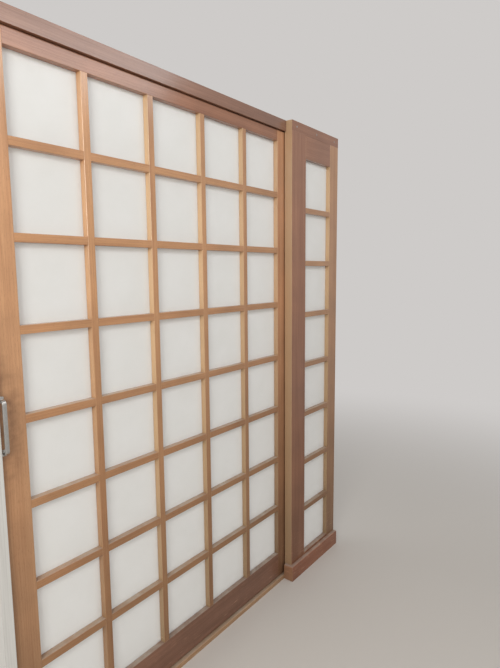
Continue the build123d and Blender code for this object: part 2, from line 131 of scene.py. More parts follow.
def remap(tree, value, old, new=(0.0, 1.0), **settings):
    """A value carried from an old range to a new one, and held at its ends."""
    ranges = {"From Min": old[0], "From Max": old[1], "To Min": new[0], "To Max": new[1]}
    return add(tree, "MapRange", {"Value": value, **ranges}, **settings)


def multiply(tree, first, second, clamp=False):
    """The product of two values, kept between 0 and 1 if it is clamped."""
    return add(tree, "Math", {0: first, 1: second}, operation="MULTIPLY", use_clamp=clamp)


def stretch(tree, vector, factors):
    """A vector multiplied axis by axis. A pattern read there is finest where the factor is largest."""
    return add(tree, "VectorMath", {0: vector, 1: factors}, operation="MULTIPLY")


def scaled(tree, vector, amount):
    """A vector or a colour, multiplied by one amount."""
    return add(tree, "VectorMath", {0: vector, "Scale": amount}, operation="SCALE")


def mix(tree, share, first, second, data_type="RGBA"):
    """Two colours, or two plain values, mixed by the share of the second."""
    return add(tree, "Mix", {"Factor": share, "A": first, "B": second}, data_type=data_type)


def bump(tree, height, under, strength, distance):
    """Relief of a height, on top of the normal that another node gives."""
    relief = {"Height": height, "Strength": strength, "Distance": distance}
    return add(tree, "Bump", {"Normal": under.outputs["Normal"], **relief})


print("a mid grey of 128 is", round(paint(128, 128, 128)[0], 3), "in linear light")

# %% [markdown]
# A finish that several materials share is a node group: it is drawn once and set differently in
# each place. Every group is opened the same way, and so is every material, which starts from its
# shader and from the object coordinates that its patterns are read at.

# %% Groups and materials
SOCKETS = {"value": "NodeSocketFloat", "colour": "NodeSocketColor", "vector": "NodeSocketVector"}


def open_group(name, inputs, outputs):
    """Start a node group with named sockets, and return it with what goes in and its output node."""
    group = bpy.data.node_groups.new(name, "ShaderNodeTree")
    for socket_name, kind, default in inputs:
        socket = group.interface.new_socket(socket_name, in_out="INPUT", socket_type=SOCKETS[kind])
        if default is not None:
            socket.default_value = default
    for socket_name, kind in outputs:
        group.interface.new_socket(socket_name, in_out="OUTPUT", socket_type=SOCKETS[kind])
    way_in = group.nodes.new("NodeGroupInput")
    return group, way_in.outputs, group.nodes.new("NodeGroupOutput")


def use_group(tree, group, inputs):
    """Place a group in a tree, with its own values."""
    return add(tree, "Group", inputs, node_tree=group)


def open_material(name):
    """Start a material, and return it with its tree, its shader and its object coordinates."""
    made = bpy.data.materials.new(name)
    made.use_nodes = True
    tree = made.node_tree
    return made, tree, tree.nodes["Principled BSDF"], add(tree, "TexCoord").outputs["Object"]


def dress(piece, material):
    """Make a material the only one of a piece."""
    piece.data.materials.clear()
    piece.data.materials.append(material)


print("socket kinds:", sorted(SOCKETS))

# %% [markdown]
# Timber is what the screen is made of, so its grain gets the most care. A sawn board shows growth
# rings cut lengthwise as long, slightly wandering bands, fine fibres between them, and short dark
# pores. All three are long patterns, so each is far finer across than along X, the run of the
# grain. Whoever places the group turns X to the piece's own length. The colours go in as early
# wood, late wood and pore. Out come one colour, a height for the bump, and the tone between early
# and late wood, which the gloss follows.

# %% Timber grain
WANDER_FINENESS = (0.9, 6.0, 6.0)
RING_FINENESS = (0.04, 1.0, 1.0)
STREAK_FINENESS = (1.3, 46.0, 46.0)
FIBRE_FINENESS = (7.0, 420.0, 420.0)
PORE_FINENESS = (75.0, 1700.0, 1700.0)
SWAY = 0.035
RING_SHARE = 0.09
STREAK_SHARE = 0.55
FIBRE_SHARE = 0.36
PORE_SPAN = (0.63, 0.74)
PORE_SHARE = 0.5
PORE_DEPTH = 0.8
TONE_SPAN = (0.34, 0.66)

grain, given, out = open_group(
    "timber grain",
    [
        ("Vector", "vector", None),
        ("Early Wood", "colour", paint(200, 150, 105)),
        ("Late Wood", "colour", paint(170, 118, 78)),
        ("Pore", "colour", paint(120, 80, 50)),
    ],
    [("Color", "colour"), ("Height", "value"), ("Tone", "value")],
)
board = given["Vector"]
wander = noise(grain, stretch(grain, board, WANDER_FINENESS))
shift = add(grain, "VectorMath", {0: wander.outputs["Color"], 1: (0.5, 0.5, 0.5)}, operation="SUBTRACT")
sway = scaled(grain, shift, SWAY)
swayed = add(grain, "VectorMath", {0: stretch(grain, board, RING_FINENESS), 1: sway}, operation="ADD")
ring_look = {"Scale": 70.0, "Distortion": 5.0, "Detail": 2.0, "Detail Scale": 0.7, "Detail Roughness": 0.6}
rings = add(
    grain,
    "TexWave",
    {"Vector": swayed, **ring_look},
    wave_type="RINGS",
    rings_direction="X",
    wave_profile="SAW",
)
streak = noise(grain, stretch(grain, board, STREAK_FINENESS), detail=3.0, roughness=0.55)
fibre = noise(grain, stretch(grain, board, FIBRE_FINENESS), detail=4.0, roughness=0.62)
dash = noise(grain, stretch(grain, board, PORE_FINENESS), detail=1.0)
pores = remap(grain, dash, PORE_SPAN)
ring_part = multiply(grain, rings.outputs["Fac"], RING_SHARE)
streak_part = add(grain, "Math", {0: streak, 1: STREAK_SHARE, 2: ring_part}, operation="MULTIPLY_ADD")
fibre_part = add(grain, "Math", {0: fibre, 1: FIBRE_SHARE, 2: streak_part}, operation="MULTIPLY_ADD")
tone = remap(grain, fibre_part, TONE_SPAN)
wood = mix(grain, tone, given["Early Wood"], given["Late Wood"])
pored = mix(grain, multiply(grain, pores, PORE_SHARE), wood, given["Pore"])
rise = add(grain, "Math", {0: pores, 1: -PORE_DEPTH, 2: fibre}, operation="MULTIPLY_ADD")
fill(out, {"Color": pored, "Height": rise, "Tone": tone})
print("timber grain:", len(grain.nodes), "nodes")

# %% [markdown]
# No edge on a real frame is razor sharp. A plane and years of hands round it off by a millimetre,
# the finish wears thin there, and that thin bright line is what makes a square bar look real. The
# Bevel node looks at the surface within a small radius and returns a rounded normal. Where that
# normal differs from the flat one there is an edge, so one node gives both the soft highlight and
# the place of the wear. A noise breaks the line up, because hands and dusters miss some spots.

# %% Eased and worn edges
EDGE_LIKENESS = (0.995, 0.80)
WORN_PATCHES = (0.36, 0.62)

worn_edge, given, out = open_group(
    "worn edge",
    [
        ("Vector", "vector", None),
        ("Radius", "value", 0.0012),
        ("Patch Size", "value", 22.0),
        ("Wear", "value", 0.6),
    ],
    [("Mask", "value"), ("Normal", "vector")],
)
rounded = add(worn_edge, "Bevel", {"Radius": given["Radius"]}, samples=6)
flat = add(worn_edge, "NewGeometry").outputs["Normal"]
likeness = add(worn_edge, "VectorMath", {0: rounded, 1: flat}, operation="DOT_PRODUCT")
on_edge = remap(worn_edge, likeness, EDGE_LIKENESS)
patches = noise(worn_edge, given["Vector"], scale=given["Patch Size"], detail=4.0, roughness=0.65)
edge_share = multiply(worn_edge, on_edge, remap(worn_edge, patches, WORN_PATCHES))
fill(out, {"Mask": multiply(worn_edge, edge_share, given["Wear"], clamp=True), "Normal": rounded})
print("worn edge:", len(worn_edge.nodes), "nodes")

# %% [markdown]
# Dust lies only on what faces up: the top of each cross bar, the skirting's round nose and the
# threshold. Its pale colour is also painted light, making the faces that look up paler as light from
# above would. The world normal's Z says how much a spot faces up, and a noise makes the layer
# uneven, thicker in some places and wiped in others.

# %% Settled dust and painted top light
FACING_UP = (0.55, 0.98)
DRIFT_SPAN = (0.30, 0.72)
THINNEST_LAYER = 0.25

dust_and_top_light_group, given, out = open_group(
    "dust and top light",
    [("Vector", "vector", None), ("Amount", "value", 0.5)],
    [("Mask", "value")],
)
facing = add(dust_and_top_light_group, "NewGeometry").outputs["Normal"]
upward = add(dust_and_top_light_group, "SeparateXYZ", {0: facing}).outputs["Z"]
drifts = noise(dust_and_top_light_group, given["Vector"], scale=14.0, detail=5.0, roughness=0.6)
uneven = remap(dust_and_top_light_group, drifts, DRIFT_SPAN, (THINNEST_LAYER, 1.0))
lying = multiply(dust_and_top_light_group, remap(dust_and_top_light_group, upward, FACING_UP), uneven)
fill(out, {"Mask": multiply(dust_and_top_light_group, lying, given["Amount"], clamp=True)})
print("dust and top light:", len(dust_and_top_light_group.nodes), "nodes")

# %% [markdown]
# Near the floor a screen gets knocked by brooms, shoes and the mouth of a vacuum cleaner. Each knock
# leaves a short, flat, pale mark. A noise that is squeezed in height gives the marks, and a second
# range, on the height above the floor, lets them thin out and end at about shin height.

# %% Scuffs near the floor
SCUFF_HEIGHTS = (0.26, 0.03)
KNOCK_FINENESS = (16.0, 16.0, 170.0)
KNOCK_SPAN = (0.60, 0.70)

scuffs, given, out = open_group(
    "scuffs",
    [("Vector", "vector", None), ("Amount", "value", 0.5)],
    [("Mask", "value")],
)
above_floor = add(scuffs, "SeparateXYZ", {0: given["Vector"]}).outputs["Z"]
low_down = remap(scuffs, above_floor, SCUFF_HEIGHTS)
knocks = noise(scuffs, stretch(scuffs, given["Vector"], KNOCK_FINENESS), detail=3.0, roughness=0.65)
low_marks = multiply(scuffs, low_down, remap(scuffs, knocks, KNOCK_SPAN))
fill(out, {"Mask": multiply(scuffs, low_marks, given["Amount"], clamp=True)})
print("scuffs:", len(scuffs.nodes), "nodes")

# %% [markdown]
# Metal parts are brushed or drawn, so they carry very fine lines along one direction. The same
# step as in the timber does it: a noise that is fifty times finer across than along. A second,
# cloudy noise mixes into the tone, so that the lines come and go.

# %% Drawn lines in metal
LINE_FINENESS = (60.0, 3000.0, 3000.0)
CLOUD_SHARE = 0.45

drawn_lines, given, out = open_group(
    "drawn lines",
    [("Vector", "vector", None), ("Fineness", "value", 1.0)],
    [("Tone", "value"), ("Height", "value")],
)
finer = scaled(drawn_lines, given["Vector"], given["Fineness"])
lines = noise(drawn_lines, stretch(drawn_lines, finer, LINE_FINENESS), detail=3.0, roughness=0.55)
clouds = noise(drawn_lines, given["Vector"], scale=90.0, detail=3.0, roughness=0.6)
tones = [remap(drawn_lines, pattern, NOISE_SPAN) for pattern in (lines, clouds)]
fill(out, {"Tone": mix(drawn_lines, CLOUD_SHARE, *tones, data_type="FLOAT"), "Height": lines})
print("drawn lines:", len(drawn_lines.nodes), "nodes")

# %% [markdown]
# One function makes every timber finish. It turns the grain to the piece's own length, moves the
# pattern so that no two pieces are cut from the same spot of the log, and lays the finish over it:
# a thin satin varnish that is the coat of the shader, paler bare edges, scuffs, and dust on top,
# whose pale colour is also painted light on the faces that look up. The varnish has been scrubbed
# thin near the floor, so its weight grows with height. The colour carries painted light and shade
# too: it darkens towards the floor as painted shade, it falls from left to right as a painted
# falloff of the window lamp, and the faces that look to the left are mixed towards a pale yellow
# brown as painted light, on the first upright bar least of all. What is the same all over, such as
# the varnish's roughness, sits on the shader's own sockets.

# %% Timber finish
GRAIN_TURNS = {
    "X": (0.0, 0.0, 0.0),
    "Y": (0.0, 0.0, -math.pi / 2),
    "Z": (0.0, math.pi / 2, 0.0),
}
LOG_PLACES = 9
HEART_STEP = Vector((0.713, 0.0437, 0.0291))
HEART_DISTANCE = Vector((0.0, 0.085, 0.060))
# Dust colour, also painted light that makes the faces that look up paler.
DUST_AND_TOP_LIGHT_COLOUR = paint(196, 188, 176)
# Painted light: the pale colour that faces looking left are mixed towards, as if lit from the left.
SIDE_LIGHT_COLOUR = paint(246, 216, 172)
EDGE_WEAR = 0.6
SCUFF_AMOUNT = 0.55
CLOUD_TONE = (0.86, 1.1)
VARNISH_ROUGHNESS = (0.38, 0.53)
DUST_ROUGHNESS = 0.85
LEAST_SIDE_LIGHT = 0.3
FIRST_BAR_ZONE = (-0.57, -0.32)
LEFT_LOOKING = (-0.3, -0.9)
# Painted shade: the colour darkens from this height down to foot_tone at the floor.
FLOOR_SHADE_HEIGHT = 1.5
# Painted light: the colour is lighter at the left end and darker to the right, a painted falloff of the
# window lamp.
PAINTED_FALLOFF_WIDTH = (-0.86, 0.5)
PAINTED_FALLOFF_TONE = (1.13, 0.84)
VARNISH_HEIGHTS = (0.3, 1.9)
VARNISH_WEIGHTS = (0.25, 1.0)


def longest_side(node):
    """The letter of the axis that a node is longest along."""
    low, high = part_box(node)
    size = high - low
    return "XYZ"[max(range(3), key=lambda axis: size[axis])]


def timber(name, node, place, early, late, pore, bare, foot_tone, painted_side_light, dust):
    """A varnished timber for one piece. Place is its number in the order of cutting, foot_tone is how
    dark the painted floor shade makes the colour at the floor, and painted_side_light how strongly the faces
    that look left are painted lighter."""
    made, tree, shader, spot = open_material(name)
    low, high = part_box(node)
    middle = (low + high) / 2
    turns = GRAIN_TURNS[longest_side(node)]
    turned = Matrix.Rotation(turns[1], 3, "Y") @ Matrix.Rotation(turns[2], 3, "Z")
    heart = HEART_STEP * (place % LOG_PLACES) + HEART_DISTANCE - turned @ middle
    laid = add(tree, "Mapping", {"Vector": spot, "Location": heart, "Rotation": turns})
    cut = use_group(tree, grain, {"Vector": laid, "Early Wood": early, "Late Wood": late, "Pore": pore})
    edge = use_group(tree, worn_edge, {"Vector": spot, "Wear": EDGE_WEAR})
    knocked = use_group(tree, scuffs, {"Vector": spot, "Amount": SCUFF_AMOUNT})
    layer = use_group(tree, dust_and_top_light_group, {"Vector": spot, "Amount": dust})
    cloud = noise(tree, spot, scale=5.0, detail=3.0)
    clouded = scaled(tree, cut, remap(tree, cloud, NOISE_SPAN, CLOUD_TONE))
    height = add(tree, "SeparateXYZ", {0: spot})
    across, above = height.outputs["X"], height.outputs["Z"]
    sideways = add(tree, "SeparateXYZ", {0: add(tree, "NewGeometry").outputs["Normal"]}).outputs["X"]
    # Painted light: faces that look left are mixed towards a pale colour, least on the first upright bar.
    reach = remap(tree, across, FIRST_BAR_ZONE, (LEAST_SIDE_LIGHT * painted_side_light, painted_side_light))
    pale = mix(tree, remap(tree, sideways, LEFT_LOOKING, (0.0, reach)), clouded, SIDE_LIGHT_COLOUR)
    # Painted shade: the colour is darker towards the floor.
    painted_floor_shade = remap(tree, above, (0.0, FLOOR_SHADE_HEIGHT), (foot_tone, 1.0))
    # Painted light falloff: the colour is brighter on the left and darker to the right.
    painted_falloff = remap(tree, across, PAINTED_FALLOFF_WIDTH, PAINTED_FALLOFF_TONE)
    shaded = scaled(tree, pale, multiply(tree, painted_floor_shade, painted_falloff))
    marked = mix(tree, knocked, mix(tree, edge, shaded, bare), bare)
    gloss = remap(tree, cut.outputs["Tone"], (0.0, 1.0), VARNISH_ROUGHNESS)
    fill(
        shader,
        {
            # Dust on faces that look up, whose pale colour is also painted light on those tops.
            "Base Color": mix(tree, layer, marked, DUST_AND_TOP_LIGHT_COLOUR),
            "Roughness": mix(tree, layer, gloss, DUST_ROUGHNESS, data_type="FLOAT"),
            "Normal": bump(tree, cut.outputs["Height"], edge, strength=0.35, distance=0.0002),
            "Specular IOR Level": 0.28,
            "Coat Weight": remap(tree, above, VARNISH_HEIGHTS, VARNISH_WEIGHTS),
            "Coat Roughness": 0.19,
            "Coat IOR": 1.5,
        },
    )
    return made


print("longest side of the threshold:", longest_side("threshold"))

# %% [markdown]
# The stain isn't one tone all over. The bars, the beads and the sidelight's stile are honey brown,
# and the leaf's left stile has a shade of its own. The right stile's stain is the same wood painted
# lighter, as painted light, with a deeper painted shade at its foot. The rails, the post and the
# sidelight's head are chestnut, and the bottom rail, the head and the right jamb are the deepest red
# brown. The threshold is pale, and the skirting is the warm red brown of the floor trim. A stain is
# given as its early wood, its late wood, its pores and its bare edges, then how dark its painted
# floor shade is at the floor and how strong the painted light on its faces that look left is. Each
# piece gets its own timber, so that the grain of one bar never runs on into the next.

# %% Timbers of the screen
def stain(early, late, pore, bare, foot_tone, painted_side_light=0.0):
    """What a timber needs to know of its stain: four colours, and how strong its painted floor shade and its
    painted side light are.
    """
    colours = {"early": early, "late": late, "pore": pore, "bare": bare}
    look = {part: paint(*colour) for part, colour in colours.items()}
    return {**look, "foot_tone": foot_tone, "painted_side_light": painted_side_light}


HONEY = stain((208, 157, 112), (181, 128, 88), (128, 84, 54), (226, 188, 146), 0.46, 0.5)
STILE_BROWN = stain((214, 164, 122), (188, 137, 98), (132, 90, 60), (228, 190, 150), 0.42)
# Painted light and shade: the right stile's wood made lighter to stand in for light, with a deeper painted
# shade at its foot.
PAINTED_LIGHT_STILE_BROWN = stain((218, 164, 124), (192, 136, 98), (126, 82, 56), (218, 174, 138), 0.32, 0.4)
CHESTNUT = stain((173, 118, 85), (146, 94, 66), (98, 58, 40), (208, 162, 126), 0.70, 0.48)
RED_BROWN = stain((156, 112, 89), (130, 90, 70), (88, 56, 41), (190, 146, 116), 0.78)
SKIRTING_BROWN = stain((192, 126, 92), (165, 102, 73), (110, 64, 44), (218, 168, 134), 0.68, 0.22)
PALE_BROWN = stain((196, 156, 118), (172, 131, 95), (128, 96, 68), (214, 184, 150), 0.85)
STAIN_OF_SLOT = {
    "stained_wood": HONEY,
    "dark_stained_wood": CHESTNUT,
    "skirting_wood": SKIRTING_BROWN,
    "pale_wood": PALE_BROWN,
}
STAIN_OF_NODE = {
    "left_stile": STILE_BROWN,
    "right_stile": PAINTED_LIGHT_STILE_BROWN,
    "sidelight_stile": HONEY,
    "bottom_rail": RED_BROWN,
    "head": RED_BROWN,
    "right_jamb": RED_BROWN,
}
DUST_AND_TOP_LIGHT_OF_SLOT = {"stained_wood": 0.66, "dark_stained_wood": 0.62, "skirting_wood": 0.6, "pale_wood": 0.5}

slot_of = {part["node"]: part["material_slot"] for part in frame["record"]["subparts"]}
wooden = sorted(node for node, slot in slot_of.items() if slot in STAIN_OF_SLOT)
for number, node in enumerate(wooden):
    look = STAIN_OF_NODE.get(node, STAIN_OF_SLOT[slot_of[node]])
    finish = timber("timber_" + node, node, number, dust=DUST_AND_TOP_LIGHT_OF_SLOT[slot_of[node]], **look)
    dress(joinery[node], finish)
print("timbers:", len(wooden))

# %% [markdown]
# Fingers that reach for the pull land on the stile round it too. Over the years they darken the
# stain there and polish the varnish. The patch is an upright oval about the middle of the pull, with
# a soft rim, and a noise breaks it into the blots that single fingers leave. It goes in just before
# the shader, on the colour and the roughness that the timber already has.

# %% Hand polish round the pull
HAND_WIDTH = 0.060
HAND_HEIGHT = 0.170
PATCH_RIM = (1.5, 0.4)
BLOT_SPAN = (0.35, 0.66)
BLOT_STRENGTH = (0.15, 0.6)
POLISHED_ROUGHNESS = 0.26
GRIME = paint(122, 84, 58)
pull_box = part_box("front_pull")
hand_place = (pull_box[0] + pull_box[1]) / 2


def hand_polish(material, centre):
    """Darken and polish a timber round a place, where hands have been."""
    tree = material.node_tree
    shader = tree.nodes["Principled BSDF"]
    colour_before = shader.inputs["Base Color"].links[0].from_socket
    gloss_before = shader.inputs["Roughness"].links[0].from_socket
    spot = add(tree, "TexCoord").outputs["Object"]
    offset = add(tree, "VectorMath", {0: spot, 1: centre}, operation="SUBTRACT")
    oval = stretch(tree, offset, (1 / HAND_WIDTH, 0.0, 1 / HAND_HEIGHT))
    reach = add(tree, "VectorMath", {0: oval}, operation="LENGTH")
    near = remap(tree, reach, PATCH_RIM, interpolation_type="SMOOTHSTEP")
    blots = noise(tree, spot, scale=34.0, detail=3.0, roughness=0.55)
    touched = multiply(tree, near, remap(tree, blots, BLOT_SPAN, BLOT_STRENGTH), clamp=True)
    darkened = mix(tree, touched, colour_before, GRIME)
    polished = mix(tree, touched, gloss_before, POLISHED_ROUGHNESS, data_type="FLOAT")
    fill(shader, {"Base Color": darkened, "Roughness": polished})


hand_polish(joinery["left_stile"].data.materials[0], hand_place)
print("hand polish at", [round(value, 3) for value in hand_place])

# %% [markdown]
# The panes are one milky sheet behind the lattice, of plastic that imitates paper. It has a faint
# cloudy mottle, fine fibres in the sheet, a surface that waves a little, and a fine pitting on top,
# one noise for each. The main thing is that light passes through it. The sheet is 3 mm thick and
# light reaches 12 mm inside it, so each side glows with what falls on the other: that evens out the
# shadows in the panes, and seen from the room the lattice shows as soft grey lines. Subsurface
# scattering does just this.

# %% Milky sheet
MILK = paint(235, 235, 232)
MILK_SHADE = paint(230, 230, 226)
MILK_FIBRE = paint(239, 239, 236)
FIBRE_WIDTH = 0.012
FIBRE_STRENGTH = 0.45
SHEET_ROUGHNESS = (0.30, 0.40)
LIGHT_REACH = 0.012


def milky_sheet():
    """Plastic that imitates paper and lets light through."""
    made, tree, shader, spot = open_material("milky_plastic")
    mottle = remap(tree, noise(tree, spot, scale=7.0, detail=4.0, roughness=0.55), NOISE_SPAN)
    strewn = noise(tree, spot, scale=230.0, distortion=1.5)
    ridge = add(tree, "Math", {0: strewn, 1: 0.5}, operation="SUBTRACT")
    thin = add(tree, "Math", {0: ridge}, operation="ABSOLUTE")
    fibre_mask = remap(tree, thin, (FIBRE_WIDTH, 0.0), (0.0, FIBRE_STRENGTH))
    milk = mix(tree, mottle, MILK, MILK_SHADE)
    waves = noise(tree, spot, scale=4.5, detail=1.0)
    waved = add(tree, "Bump", {"Height": waves, "Strength": 0.12, "Distance": 0.004})
    fill(
        shader,
        {
            "Base Color": mix(tree, fibre_mask, milk, MILK_FIBRE),
            "Roughness": remap(tree, mottle, (0.0, 1.0), SHEET_ROUGHNESS),
            "Normal": bump(tree, noise(tree, spot, scale=320.0), waved, strength=0.10, distance=0.0002),
            "Specular IOR Level": 0.38,
            "Subsurface Weight": 0.8,
            "Subsurface Radius": (1.0, 1.0, 1.0),
            "Subsurface Scale": LIGHT_REACH,
        },
    )
    return made


sheet_finish = milky_sheet()
for node in ("leaf_sheet", "sidelight_sheet"):
    dress(joinery[node], sheet_finish)
print("sheet:", sheet_finish.name)

# %% [markdown]
# The left jamb is painted white. Brushed paint has soft streaks along the stroke, and chips on its
# edges where the primer shows through.

# %% White paint
WHITE = paint(222, 220, 216)
WHITE_STREAK = paint(208, 206, 201)
PRIMER = paint(170, 150, 128)
STREAK_SPAN = (0.35, 0.68)
PAINT_ROUGHNESS = (0.36, 0.52)


def white_paint():
    """White paint with upright brush strokes and chipped edges."""
    made, tree, shader, spot = open_material("brushed_white_paint")
    strokes = add(tree, "Mapping", {"Vector": spot, "Scale": (260.0, 260.0, 3.0)})
    brushed = noise(tree, strokes, detail=3.0, roughness=0.6)
    streak = remap(tree, brushed, STREAK_SPAN)
    edge = use_group(tree, worn_edge, {"Vector": spot, "Wear": 0.45, "Patch Size": 55.0, "Radius": 0.0009})
    fill(
        shader,
        {
            "Base Color": mix(tree, edge, mix(tree, streak, WHITE, WHITE_STREAK), PRIMER),
            "Roughness": remap(tree, streak, (0.0, 1.0), PAINT_ROUGHNESS),
            "Normal": bump(tree, brushed, edge, strength=0.3, distance=0.0002),
        },
    )
    return made


dress(joinery["left_jamb"], white_paint())
print("painted: left_jamb")

# %% [markdown]
# Every metal here is one function with other numbers: the drawn lines give its tone and a whisper
# of relief, the worn edge polishes its corners, and the roughness follows the same lines, so that
# a highlight breaks up along the stroke.

# %% Metals
def metal(name, bright, dull, rough, along="Z", fineness=1.0, polish=0.7):
    """A metal between a bright and a dull colour, about as rough as given, drawn along an axis."""
    made, tree, shader, spot = open_material(name)
    laid = add(tree, "Mapping", {"Vector": spot, "Rotation": GRAIN_TURNS[along]})
    drawn = use_group(tree, drawn_lines, {"Vector": laid, "Fineness": fineness})
    edge = use_group(tree, worn_edge, {"Vector": spot, "Wear": polish, "Patch Size": 120.0, "Radius": 0.0005})
    fill(
        shader,
        {
            "Base Color": mix(tree, edge, mix(tree, drawn, bright, dull), bright),
            "Roughness": remap(tree, drawn, (0.0, 1.0), (rough - 0.06, rough + 0.12)),
            "Normal": bump(tree, drawn.outputs["Height"], edge, strength=0.15, distance=0.00005),
            "Metallic": 1.0,
        },
    )
    return made


satin_nickel = metal("nickel_finish", paint(206, 204, 200), paint(176, 174, 170), 0.30)
zinc = metal("zinc_finish", paint(188, 190, 192), paint(150, 153, 156), 0.38, along="X", fineness=0.4)
screw_steel = metal("screw_finish", paint(190, 188, 184), paint(150, 148, 145), 0.34, fineness=1.6)
brass = metal("brass_finish", paint(214, 178, 106), paint(168, 132, 74), 0.30, along="X", fineness=0.7)
METAL_OF_NODE = {
    "front_pull": satin_nickel,
    "rear_pull": satin_nickel,
    "pull_bolts": screw_steel,
    "floor_rail": brass,
    "left_axle": zinc,
    "right_axle": zinc,
    "left_wheel_housing": zinc,
    "right_wheel_housing": zinc,
}
for node, finish in METAL_OF_NODE.items():
    dress(joinery[node], finish)
print("metals:", sorted({finish.name for finish in METAL_OF_NODE.values()}))

# %% [markdown]
# The wheels are off-white nylon, and the buffers are black rubber. Both are moulded, so they share
# a fine speckle. The nylon's edges have worn to a grey, and the rubber's are bleached by dust.

# %% Nylon and rubber
def moulded(name, base, shade, rough, speckle, edge_colour, wear):
    """A moulded plastic or rubber, speckled between two colours and worn to a third at its edges."""
    made, tree, shader, spot = open_material(name)
    fine = noise(tree, spot, scale=speckle, detail=3.0, roughness=0.6)
    fine_level = remap(tree, fine, NOISE_SPAN)
    edge = use_group(tree, worn_edge, {"Vector": spot, "Wear": wear, "Patch Size": 90.0, "Radius": 0.0006})
    fill(
        shader,
        {
            "Base Color": mix(tree, edge, mix(tree, fine_level, base, shade), edge_colour),
            "Roughness": remap(tree, fine_level, (0.0, 1.0), (rough - 0.06, rough + 0.08)),
            "Normal": bump(tree, fine, edge, strength=0.2, distance=0.0001),
        },
    )
    return made


nylon = moulded(
    "moulded_nylon",
    base=paint(206, 202, 192),
    shade=paint(178, 174, 164),
    rough=0.42,
    speckle=260.0,
    edge_colour=paint(150, 146, 138),
    wear=0.7,
)
rubber = moulded(
    "moulded_rubber",
    base=paint(38, 37, 36),
    shade=paint(56, 54, 52),
    rough=0.72,
    speckle=420.0,
    edge_colour=paint(96, 93, 89),
    wear=0.5,
)
for side in ("left", "right"):
    dress(joinery[side + "_wheel"], nylon)
    dress(joinery[side + "_buffers"], rubber)
print("moulded:", nylon.name, rubber.name)

# %% [markdown]
# From here on new pieces are modelled by hand, and these helpers keep that tidy. An operator acts
# on whatever is selected, and the joinery comes in selected, so each piece starts by deselecting
# everything. Its place and scale go straight into its mesh, so that the object rests at the origin
# like the joinery does. Faces and edges are picked by where they are, and the select mode is set
# before, because in the mode for points a picked edge brings its neighbours along. A face counts as
# square on to an axis when nine tenths of its normal, or more, run along it.

# %% Modelling helpers
EPSILON = 1e-5
SQUARE_ON = 0.9


def start_piece(name, add_primitive, scale=(1.0, 1.0, 1.0), **settings):
    """Deselect everything, add a primitive, name it and settle its place and scale in its mesh."""
    bpy.ops.object.select_all(action="DESELECT")
    add_primitive(**settings)
    made = bpy.context.active_object
    made.name = name
    made.data.name = name
    made.scale = scale
    bpy.ops.object.transform_apply(location=True, rotation=True, scale=True)
    return made


def pick(piece, kind, wanted):
    """In edit mode, select only the faces or edges for which wanted(centre, element) is true."""
    bpy.ops.object.mode_set(mode="OBJECT")
    bpy.context.scene.tool_settings.mesh_select_mode = (False, kind == "edges", kind == "faces")
    mesh = piece.data
    for group in (mesh.vertices, mesh.edges, mesh.polygons):
        for element in group:
            element.select = False
    if kind == "faces":
        for face in mesh.polygons:
            face.select = wanted(face.center, face.normal)
    else:
        for edge in mesh.edges:
            start, end = [mesh.vertices[index].co for index in edge.vertices]
            edge.select = wanted((start + end) / 2, end - start)
    bpy.ops.object.mode_set(mode="EDIT")


def complete(piece, smooth_angle):
    """Merge double points, turn the faces outwards and shade smooth over edges under an angle."""
    bpy.ops.object.mode_set(mode="OBJECT")
    bpy.ops.object.select_all(action="DESELECT")
    piece.select_set(True)
    bpy.context.view_layer.objects.active = piece
    bpy.ops.object.mode_set(mode="EDIT")
    bpy.ops.mesh.select_all(action="SELECT")
    bpy.ops.mesh.remove_doubles(threshold=EPSILON)
    bpy.ops.mesh.normals_make_consistent(inside=False)
    bpy.ops.object.mode_set(mode="OBJECT")
    bpy.ops.object.shade_smooth_by_angle(angle=math.radians(smooth_angle))


def copy_to(piece, name, step):
    """A copy with its own mesh, moved by a step that goes into the mesh."""
    made = piece.copy()
    made.data = piece.data.copy()
    made.name = name
    made.data.name = name
    made.data.transform(Matrix.Translation(step))
    bpy.context.scene.collection.objects.link(made)
    return made


def join(name, members):
    """Join several objects into the first and name it."""
    bpy.ops.object.select_all(action="DESELECT")
    for member in members:
        member.select_set(True)
    bpy.context.view_layer.objects.active = members[0]
    bpy.ops.object.join()
    members[0].name = name
    members[0].data.name = name
    return members[0]


def report(piece):
    """Print a piece's faces and size in millimetres."""
    size = [round(side * 1000, 2) for side in piece.dimensions]
    print(piece.name, "faces:", len(piece.data.polygons), "size in mm:", size)


print("helpers ready, doubles within", EPSILON, "m are merged")

# %% [markdown]
# The pull is one bar of flat steel, bent twice and fixed on two square feet. It could be a curve
# with a profile, but a curve rounds the flat bar's section where it turns. Spinning the end of the
# bar about the bend's own centre keeps the section true, which is what a bending machine does: out
# of the foot, round the first bend, up the grip, round the second bend and back to the stile.

# %% Front pull
BEND_RADIUS = 0.010
BEND_STEPS = 10
FOOT_THICKNESS = 0.003
BAR_WIDTH = 0.011
BAR_THICKNESS = 0.006

pull_low, pull_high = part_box("front_pull")
foot_size = pull_high.x - pull_low.x
pull_x = (pull_low.x + pull_high.x) / 2
stile_face = pull_high.y
grip_y = pull_low.y + BAR_THICKNESS / 2
low_foot_z = pull_low.z + foot_size / 2
high_foot_z = pull_high.z - foot_size / 2
foot_face = stile_face - FOOT_THICKNESS

bar = start_piece(
    "pull_bar",
    bpy.ops.mesh.primitive_plane_add,
    scale=(BAR_WIDTH, BAR_THICKNESS, 1.0),
    size=1.0,
    location=(pull_x, foot_face, low_foot_z),
    rotation=(math.pi / 2, 0.0, 0.0),
)


def extrude_bar(step):
    """Draw the selected end of the bar out by a step."""
    bpy.ops.mesh.extrude_region_move(TRANSFORM_OT_translate={"value": step})


